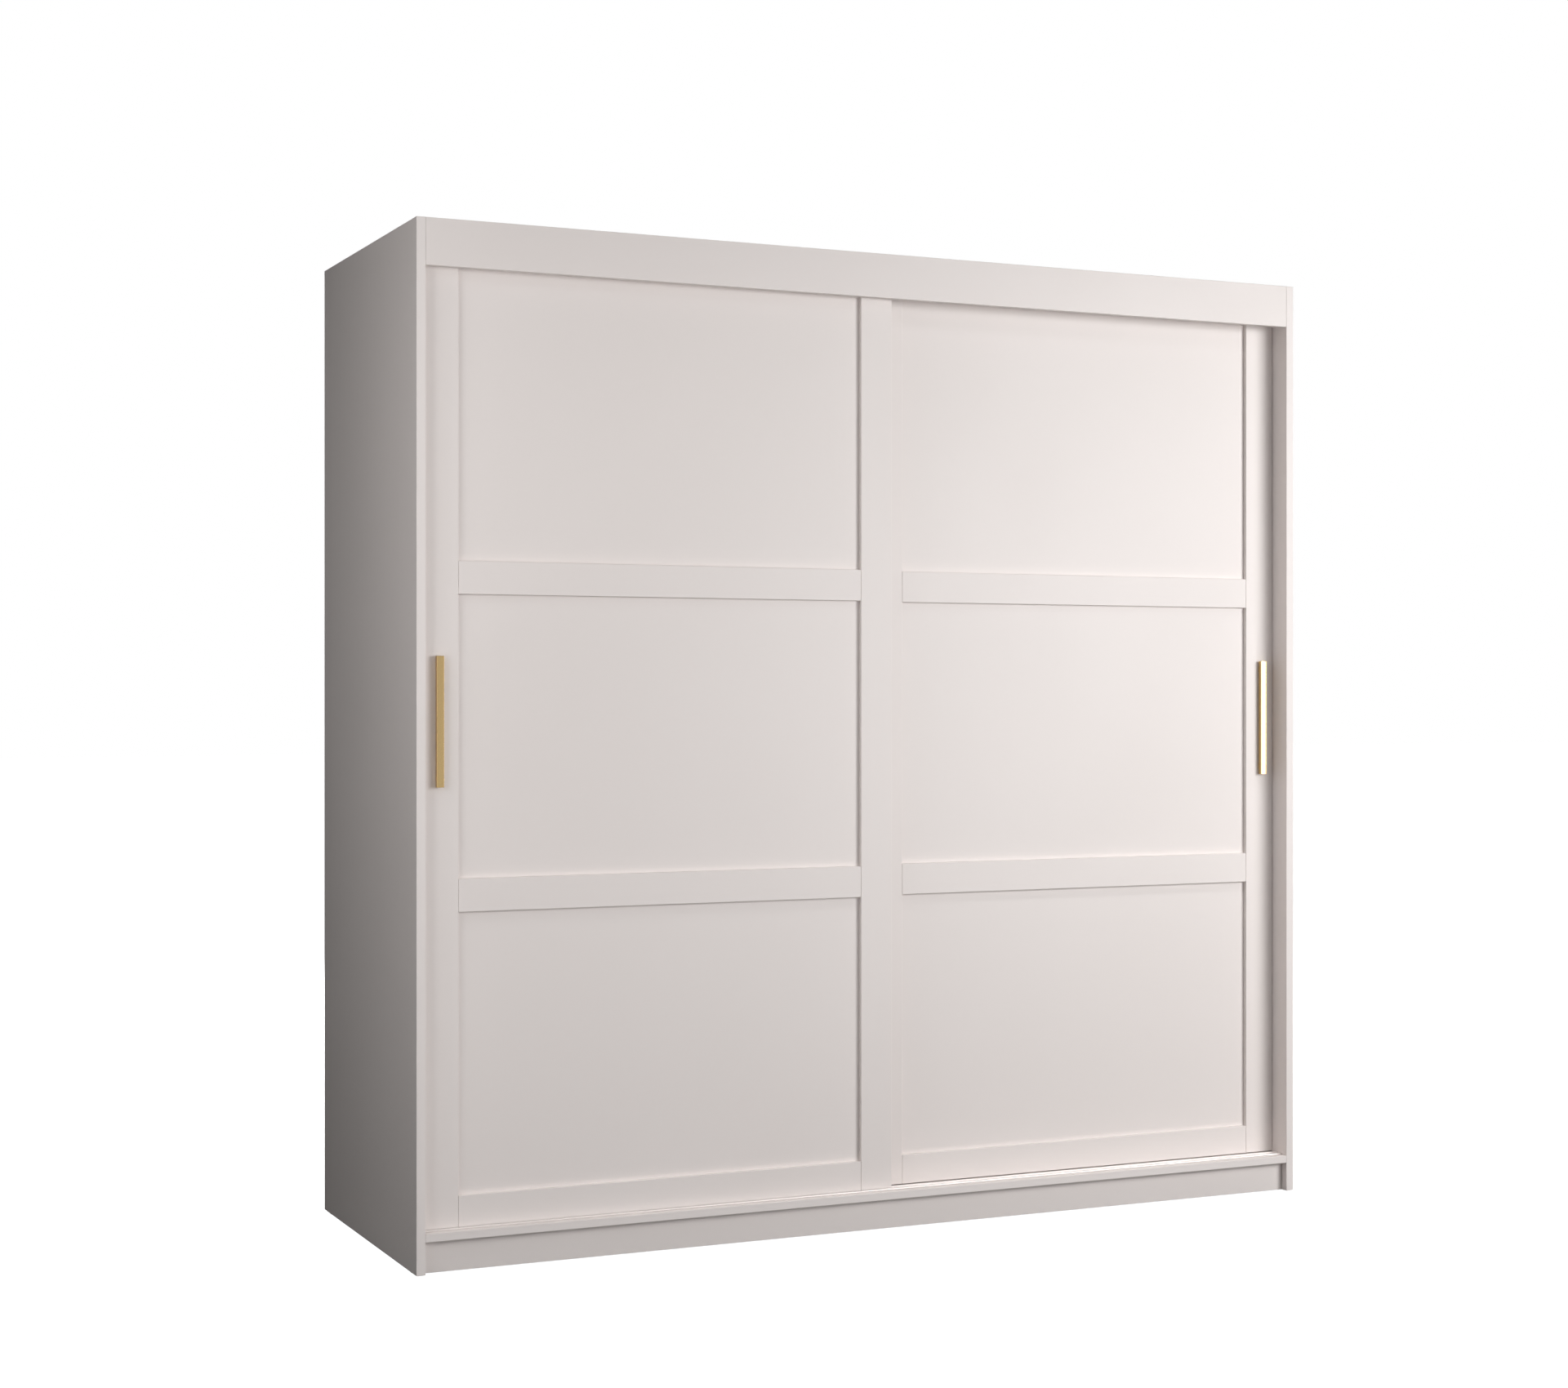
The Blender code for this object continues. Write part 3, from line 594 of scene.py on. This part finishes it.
def back_nails(look):
    """Small domed nails round both back panels and down the middle."""
    profile = [
        (0.0, -NAIL_SUNK),
        (NAIL_RADIUS, -NAIL_SUNK),
        (NAIL_RADIUS, NAIL_RIM),
        (0.7 * NAIL_RADIUS, 0.75 * NAIL_RISE),
        (0.0, NAIL_RISE),
    ]
    bm = bmesh.new()
    for side in ("left", "right"):
        low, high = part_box(f"back_panel_{side}")
        rows = spread(low.z + NAIL_CORNER_HEIGHT, high.z - NAIL_INSET, NAIL_ROWS)
        columns = spread(low.x + NAIL_INSET, high.x - NAIL_INSET, NAIL_COLUMNS)
        places = [(x, z) for z in rows for x in (columns[0], columns[-1])]
        places += [(x, z) for x in columns[1:-1] for z in (low.z + NAIL_FOOT_HEIGHT, rows[-1])]
        for x, z in places:
            turned(bm, profile, (x, high.y, z), (0, 1, 0), NAIL_FACETS)
    add_piece("back_nails", bm, look, "carcass")


def pin_rows(shelf):
    """The places from front to back, in Y, of a shelf's pins and of the holes for them."""
    low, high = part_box(shelf)
    return low.y + PIN_FROM_SHELF_FRONT, high.y - PIN_FROM_SHELF_REAR


def shelf_pins(look):
    """Four pins with a collar under each loose shelf."""
    profile = [
        (0.0, 0.0),
        (PIN_COLLAR_RADIUS, 0.0),
        (PIN_COLLAR_RADIUS, PIN_COLLAR_THICKNESS),
        (PIN_RADIUS, PIN_COLLAR_THICKNESS + PIN_COLLAR_SLOPE),
        (PIN_RADIUS, PIN_REACH - PIN_CHAMFER),
        (PIN_RADIUS - PIN_CHAMFER, PIN_REACH),
        (0.0, PIN_REACH),
    ]
    bm = bmesh.new()
    for name in ("shelf_right_1", "shelf_right_2", "shelf_right_3"):
        low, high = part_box(name)
        z = low.z - PIN_BELOW_SHELF - PIN_COLLAR_RADIUS
        for x, inwards in ((low.x - PIN_PAST_SHELF_END, 1), (high.x + PIN_PAST_SHELF_END, -1)):
            for y in pin_rows(name):
                turned(bm, profile, (x, y, z), (inwards, 0, 0), PIN_FACETS)
    add_piece("shelf_pins", bm, look, "carcass")


def shelf_holes():
    """Two columns of 5 mm holes in each upright of the shelf side, bored by a Boolean modifier."""
    profile = [
        (0.0, -HOLE_DEPTH),
        (HOLE_RADIUS, -HOLE_DEPTH),
        (HOLE_RADIUS, HOLE_CUTTER_TIP),
        (0.0, HOLE_CUTTER_TIP),
    ]
    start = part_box("bottom_panel")[1].z + HOLE_START
    for node, x, outwards in (
        ("centre_partition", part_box("centre_partition")[1].x, 1),
        ("side_panel_right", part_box("side_panel_right")[0].x, -1),
    ):
        bm = bmesh.new()
        for y in pin_rows("shelf_right_1"):
            for i in range(HOLE_ROWS):
                turned(bm, profile, (x, y, start + HOLE_PITCH * i), (outwards, 0, 0), HOLE_FACETS)
        cutter = object_from(bm, f"{node}_holes")
        cutter.hide_render = True
        cutter.display_type = "WIRE"
        modifiers = NODES[node].modifiers
        bore = modifiers.new("holes", "BOOLEAN")
        bore.operation = "DIFFERENCE"
        bore.solver = "EXACT"
        bore.object = cutter
        modifiers.move(len(modifiers) - 1, modifiers.find("bevel") + 1)


def cam_caps(look):
    """Flat round caps over the cam fittings under the hat shelves and the top panel."""
    profile = [
        (0.0, -CAP_SUNK),
        (CAP_RADIUS, -CAP_SUNK),
        (CAP_RADIUS, 0.4 * CAP_RISE),
        (0.92 * CAP_RADIUS, CAP_RISE),
        (0.0, CAP_RISE),
    ]
    places = []
    for name in ("hat_shelf_left", "hat_shelf_right"):
        low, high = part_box(name)
        for x in (low.x + CAP_FROM_END, high.x - CAP_FROM_END):
            places += [(x, low.y + CAP_FROM_FRONT, low.z), (x, high.y - CAP_FROM_REAR, low.z)]
    low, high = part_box("top_panel")
    for x in (low.x + CAP_FROM_END, -CAP_FROM_MIDDLE, CAP_FROM_MIDDLE, high.x - CAP_FROM_END):
        places += [(x, low.y + TOP_CAP_FROM_FRONT, low.z), (x, high.y - CAP_FROM_REAR, low.z)]
    bm = bmesh.new()
    for place in places:
        turned(bm, profile, place, (0, 0, -1), CAP_FACETS)
    add_piece("cam_caps", bm, look, "carcass")


def track_screws(look):
    """One row of screws between the bottom track's beads, and one in each lane of the top track."""
    low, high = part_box("bottom_track")
    lanes = [centre_of(f"{door}_wheel_left").y for door in ("left_door", "right_door")]
    xs = spread(low.x + TRACK_SCREW_INSET, high.x - TRACK_SCREW_INSET, TRACK_SCREW_COUNT)
    places = [(x, sum(lanes) / 2, low.z + BOTTOM_TRACK_STRIP) for x in xs]
    screws("bottom_track_screws", places, (0, 0, 1), BOTTOM_TRACK_SCREW, look, "carcass")
    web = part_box("top_track")[1].z - TOP_TRACK_WEB
    places = [(x, lane, web) for x in xs for lane in lanes]
    screws("top_track_screws", places, (0, 0, -1), TOP_TRACK_SCREW, look, "carcass")


def cup_screws(look):
    """Two screws in each cup of the hanging rail, one above the other."""
    for side, inwards in (("left", 1), ("right", -1)):
        low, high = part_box(f"rail_cup_{side}")
        plate = (low.x if inwards == 1 else high.x) + inwards * CUP_PLATE
        middle = (low.y + high.y) / 2
        places = [(plate, middle, z) for z in (low.z + CUP_SCREW_INSET, high.z - CUP_SCREW_INSET)]
        screws(f"rail_cup_screws_{side}", places, (inwards, 0, 0), CUP_SCREW, look, "carcass")


def door_fittings(door, look):
    """Screws on the back of a door: two for its handle, two for each roller, two for each guide."""
    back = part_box(f"{door}_panel")[1].y
    low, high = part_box(f"{door}_handle")
    middle = (low.x + high.x) / 2
    places = [(middle, back, z) for z in (low.z + HANDLE_SCREW_INSET, high.z - HANDLE_SCREW_INSET)]
    screws(f"{door}_handle_screws", places, (0, 1, 0), HANDLE_SCREW, look, door)
    places = []
    for side in ("left", "right"):
        low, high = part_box(f"{door}_roller_housing_{side}")
        for x in (low.x + HOUSING_SCREW_INSET, high.x - HOUSING_SCREW_INSET):
            places.append((x, high.y, high.z - HOUSING_SCREW_DROP))
        low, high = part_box(f"{door}_top_guide_{side}")
        for x in (low.x + GUIDE_SCREW_INSET, high.x - GUIDE_SCREW_INSET):
            places.append((x, back - GUIDE_SCREW_SUNK, low.z + GUIDE_SCREW_RISE))
    screws(f"{door}_hardware_screws", places, (0, 1, 0), HARDWARE_SCREW, look, door)


def bristle(bm, root, end):
    """A square tuft from root to end, a little thinner at its end."""
    verts = []
    for centre, half in ((root, PILE_ROOT), (end, PILE_TIP)):
        for dx, dz in ((-1, -1), (1, -1), (1, 1), (-1, 1)):
            verts.append(bm.verts.new(centre + Vector((dx * half, 0, dz * half))))
    bm.faces.new(verts[0:4])
    bm.faces.new(verts[4:8][::-1])
    for k in range(4):
        j = (k + 1) % 4
        bm.faces.new((verts[k], verts[j], verts[4 + j], verts[4 + k]))


def pile_brush(looks):
    """A dust brush on the face of the rear door's inner stile, closing the gap to the front door's back."""
    low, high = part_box("right_door_stile_left")
    x, face = low.x + BRUSH_FROM_EDGE, low.y
    bottom, top = low.z + BRUSH_END_INSET, high.z - BRUSH_END_INSET
    bm = bmesh.new()
    front = (x - BRUSH_HALF_WIDTH, face - BRUSH_DEPTH, bottom)
    rear = (x + BRUSH_HALF_WIDTH, face - BRUSH_LIFT, top)
    box_into(bm, front, rear)
    bmesh.ops.bevel(bm, geom=bm.edges[:], offset=BRUSH_ROUNDING, segments=2, affect="EDGES")
    add_piece("right_door_brush_base", bm, looks["grey"], "right_door")
    draw = random.Random(PILE_SEED)
    bm = bmesh.new()
    root_y = face - BRUSH_DEPTH + PILE_SUNK
    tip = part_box("left_door_panel")[1].y + PILE_CLEARANCE
    for i in range(int((top - bottom - PILE_PITCH) / PILE_PITCH)):
        for lane in (x - PILE_LANE, x + PILE_LANE):
            z = bottom + PILE_PITCH * (i + PILE_START) + draw.uniform(-PILE_STRAY, PILE_STRAY)
            end_x = lane + draw.uniform(-PILE_LEAN, PILE_LEAN)
            end_y = tip + draw.uniform(0, PILE_SHORTER)
            end_z = z + draw.uniform(-PILE_DROOP, PILE_DROOP)
            bristle(bm, Vector((lane, root_y, z)), Vector((end_x, end_y, end_z)))
    add_piece("right_door_brush_pile", bm, looks["pile"], "right_door", smooth=False)


def fittings(looks):
    back_nails(looks["zinc"])
    shelf_pins(looks["zinc"])
    shelf_holes()
    cam_caps(looks["cap"])
    track_screws(looks["zinc"])
    cup_screws(looks["zinc"])
    for door in ("left_door", "right_door"):
        door_fittings(door, looks["zinc"])
    pile_brush(looks)


# ---------------------------------------------------------------- stage


FLOOR_HALF_WIDTH = 40.0
FLOOR_DROP = 0.0002

# The world's strength all round and, for what mirrors it, below; the second fades in between two slopes
AMBIENT = 0.01
GLOW_BELOW = 0.6
GLOW_SLOPE = (-0.35, -0.60)

# Lights: (place, aimed at, (width, height), beam in degrees, radiance)
LIGHTS = {
    "key": ((2.6, -3.6, 1.55), (0.4, -0.3, 1.1), (2.2, 1.8), 180, 6.2),
    "key_high": ((2.8, -3.5, 2.05), (0.5, -0.3, 1.2), (1.6, 1.3), 180, 6.6),
    "low_right": ((1.7, -3.2, 0.45), (0.6, -0.3, 0.8), (1.6, 0.8), 180, 1.9),
    "low_left": ((-1.4, -3.0, 0.45), (-0.4, -0.3, 0.8), (1.6, 0.8), 180, 1.8),
    "front": ((0.95, -6.5, 1.1), (0.0, -0.3, 1.0), (4.0, 4.0), 180, 0.53),
    "left_near": ((-2.18, -1.0, 1.47), (-1.0, 0.0, 1.1), (0.8, 2.1), 180, 2.1),
    "left_far": ((-2.9, -2.4, 1.6), (-0.6, -0.2, 1.1), (1.2, 1.8), 180, 1.3),
    "strip_wide": ((0.0, -0.965, 2.38), (0.0, -0.965, 0.0), (3.2, 0.15), 150, 1.5),
    "strip_tight": ((0.0, -0.965, 2.38), (0.0, -0.965, 0.0), (3.2, 0.15), 120, 2.4),
    "strip_right": ((0.9, -0.965, 2.38), (0.9, -0.965, 0.0), (1.2, 0.15), 90, 5.0),
    "rear": ((1.2, 4.6, 2.2), (0.0, 0.3, 1.0), (3.0, 2.4), 180, 8.5),
    "side_right": ((4.4, 0.9, 1.6), (1.0, 0.0, 1.0), (1.8, 2.4), 180, 3.6),
    "above": ((0.0, 0.9, 4.2), (0.0, 0.2, 2.0), (2.4, 1.6), 180, 4.0),
}


def floor():
    """A pale floor that shows no shadow and doesn't light the object."""
    look = Look("pale_floor", Emission_Color=(1.0, 1.0, 1.0, 1.0), Emission_Strength=1.0)
    cloud = look.noise((0.6, 0.6, 0.6), 3.0)
    look.colour(look.mottle(cloud, FLOOR_TONE, FLOOR_TONE_DEEP, NOISE_WIDE))
    look.roughness(cloud, 0.55, 0.65)
    bm = bmesh.new()
    bmesh.ops.create_grid(bm, x_segments=1, y_segments=1, size=FLOOR_HALF_WIDTH)
    mesh = bpy.data.meshes.new("floor")
    bm.to_mesh(mesh)
    bm.free()
    mesh.materials.append(look.material)
    plane = bpy.data.objects.new("floor", mesh)
    plane.location.z = -FLOOR_DROP
    plane.visible_diffuse = False
    plane.visible_glossy = False
    bpy.context.scene.collection.objects.link(plane)


def lights():
    """Soft boxes that the camera doesn't see. One that aims straight down needs no turn."""
    for name, (place, aim, size, beam, radiance) in LIGHTS.items():
        data = bpy.data.lights.new(name, "AREA")
        data.shape = "RECTANGLE"
        data.size, data.size_y = size
        data.spread = math.radians(beam)
        data.energy = radiance * math.pi * size[0] * size[1]
        lamp = bpy.data.objects.new(name, data)
        lamp.location = place
        direction = Vector(aim) - Vector(place)
        if direction.x or direction.y:
            lamp.rotation_euler = direction.to_track_quat("-Z", "Y").to_euler()
        lamp.visible_camera = False
        bpy.context.scene.collection.objects.link(lamp)


def world():
    """White behind the object, a faint glow that lights it, and a paler one below for metal to mirror."""
    made = bpy.data.worlds.new("studio")
    made.use_nodes = True
    bpy.context.scene.world = made
    nodes, link = made.node_tree.nodes, made.node_tree.links.new
    nodes.clear()
    seen, glow, below = (nodes.new("ShaderNodeBackground") for _ in range(3))
    for shader, strength in ((seen, 1.0), (glow, AMBIENT), (below, GLOW_BELOW)):
        shader.inputs["Color"].default_value = (1.0, 1.0, 1.0, 1.0)
        shader.inputs["Strength"].default_value = strength
    path, place = nodes.new("ShaderNodeLightPath"), nodes.new("ShaderNodeTexCoord")
    part, depth = nodes.new("ShaderNodeSeparateXYZ"), nodes.new("ShaderNodeMapRange")
    mirrored = nodes.new("ShaderNodeMath")
    depth.inputs["From Min"].default_value, depth.inputs["From Max"].default_value = GLOW_SLOPE
    mirrored.operation = "MULTIPLY"
    lit, mix = nodes.new("ShaderNodeMixShader"), nodes.new("ShaderNodeMixShader")
    out = nodes.new("ShaderNodeOutputWorld")
    link(place.outputs["Generated"], part.inputs[0])
    link(part.outputs["Z"], depth.inputs["Value"])
    link(depth.outputs["Result"], mirrored.inputs[0])
    link(path.outputs["Is Glossy Ray"], mirrored.inputs[1])
    link(mirrored.outputs[0], lit.inputs["Fac"])
    link(glow.outputs[0], lit.inputs[1])
    link(below.outputs[0], lit.inputs[2])
    link(path.outputs["Is Camera Ray"], mix.inputs["Fac"])
    link(lit.outputs[0], mix.inputs[1])
    link(seen.outputs[0], mix.inputs[2])
    link(mix.outputs[0], out.inputs["Surface"])


def camera():
    data = bpy.data.cameras.new("camera")
    data.lens = LENS_MM
    data.sensor_width = SENSOR_MM
    data.clip_start, data.clip_end = CLIP_RANGE
    seer = bpy.data.objects.new("camera", data)
    seer.location = CAMERA_PLACE
    seer.rotation_euler = (math.radians(90), 0.0, CAMERA_YAW)
    bpy.context.scene.collection.objects.link(seer)
    bpy.context.scene.camera = seer


def main():
    looks = make_looks()
    dress_nodes(looks)
    fittings(looks)
    floor()
    lights()
    world()
    camera()
    bpy.context.scene.view_settings.view_transform = "Standard"


main()
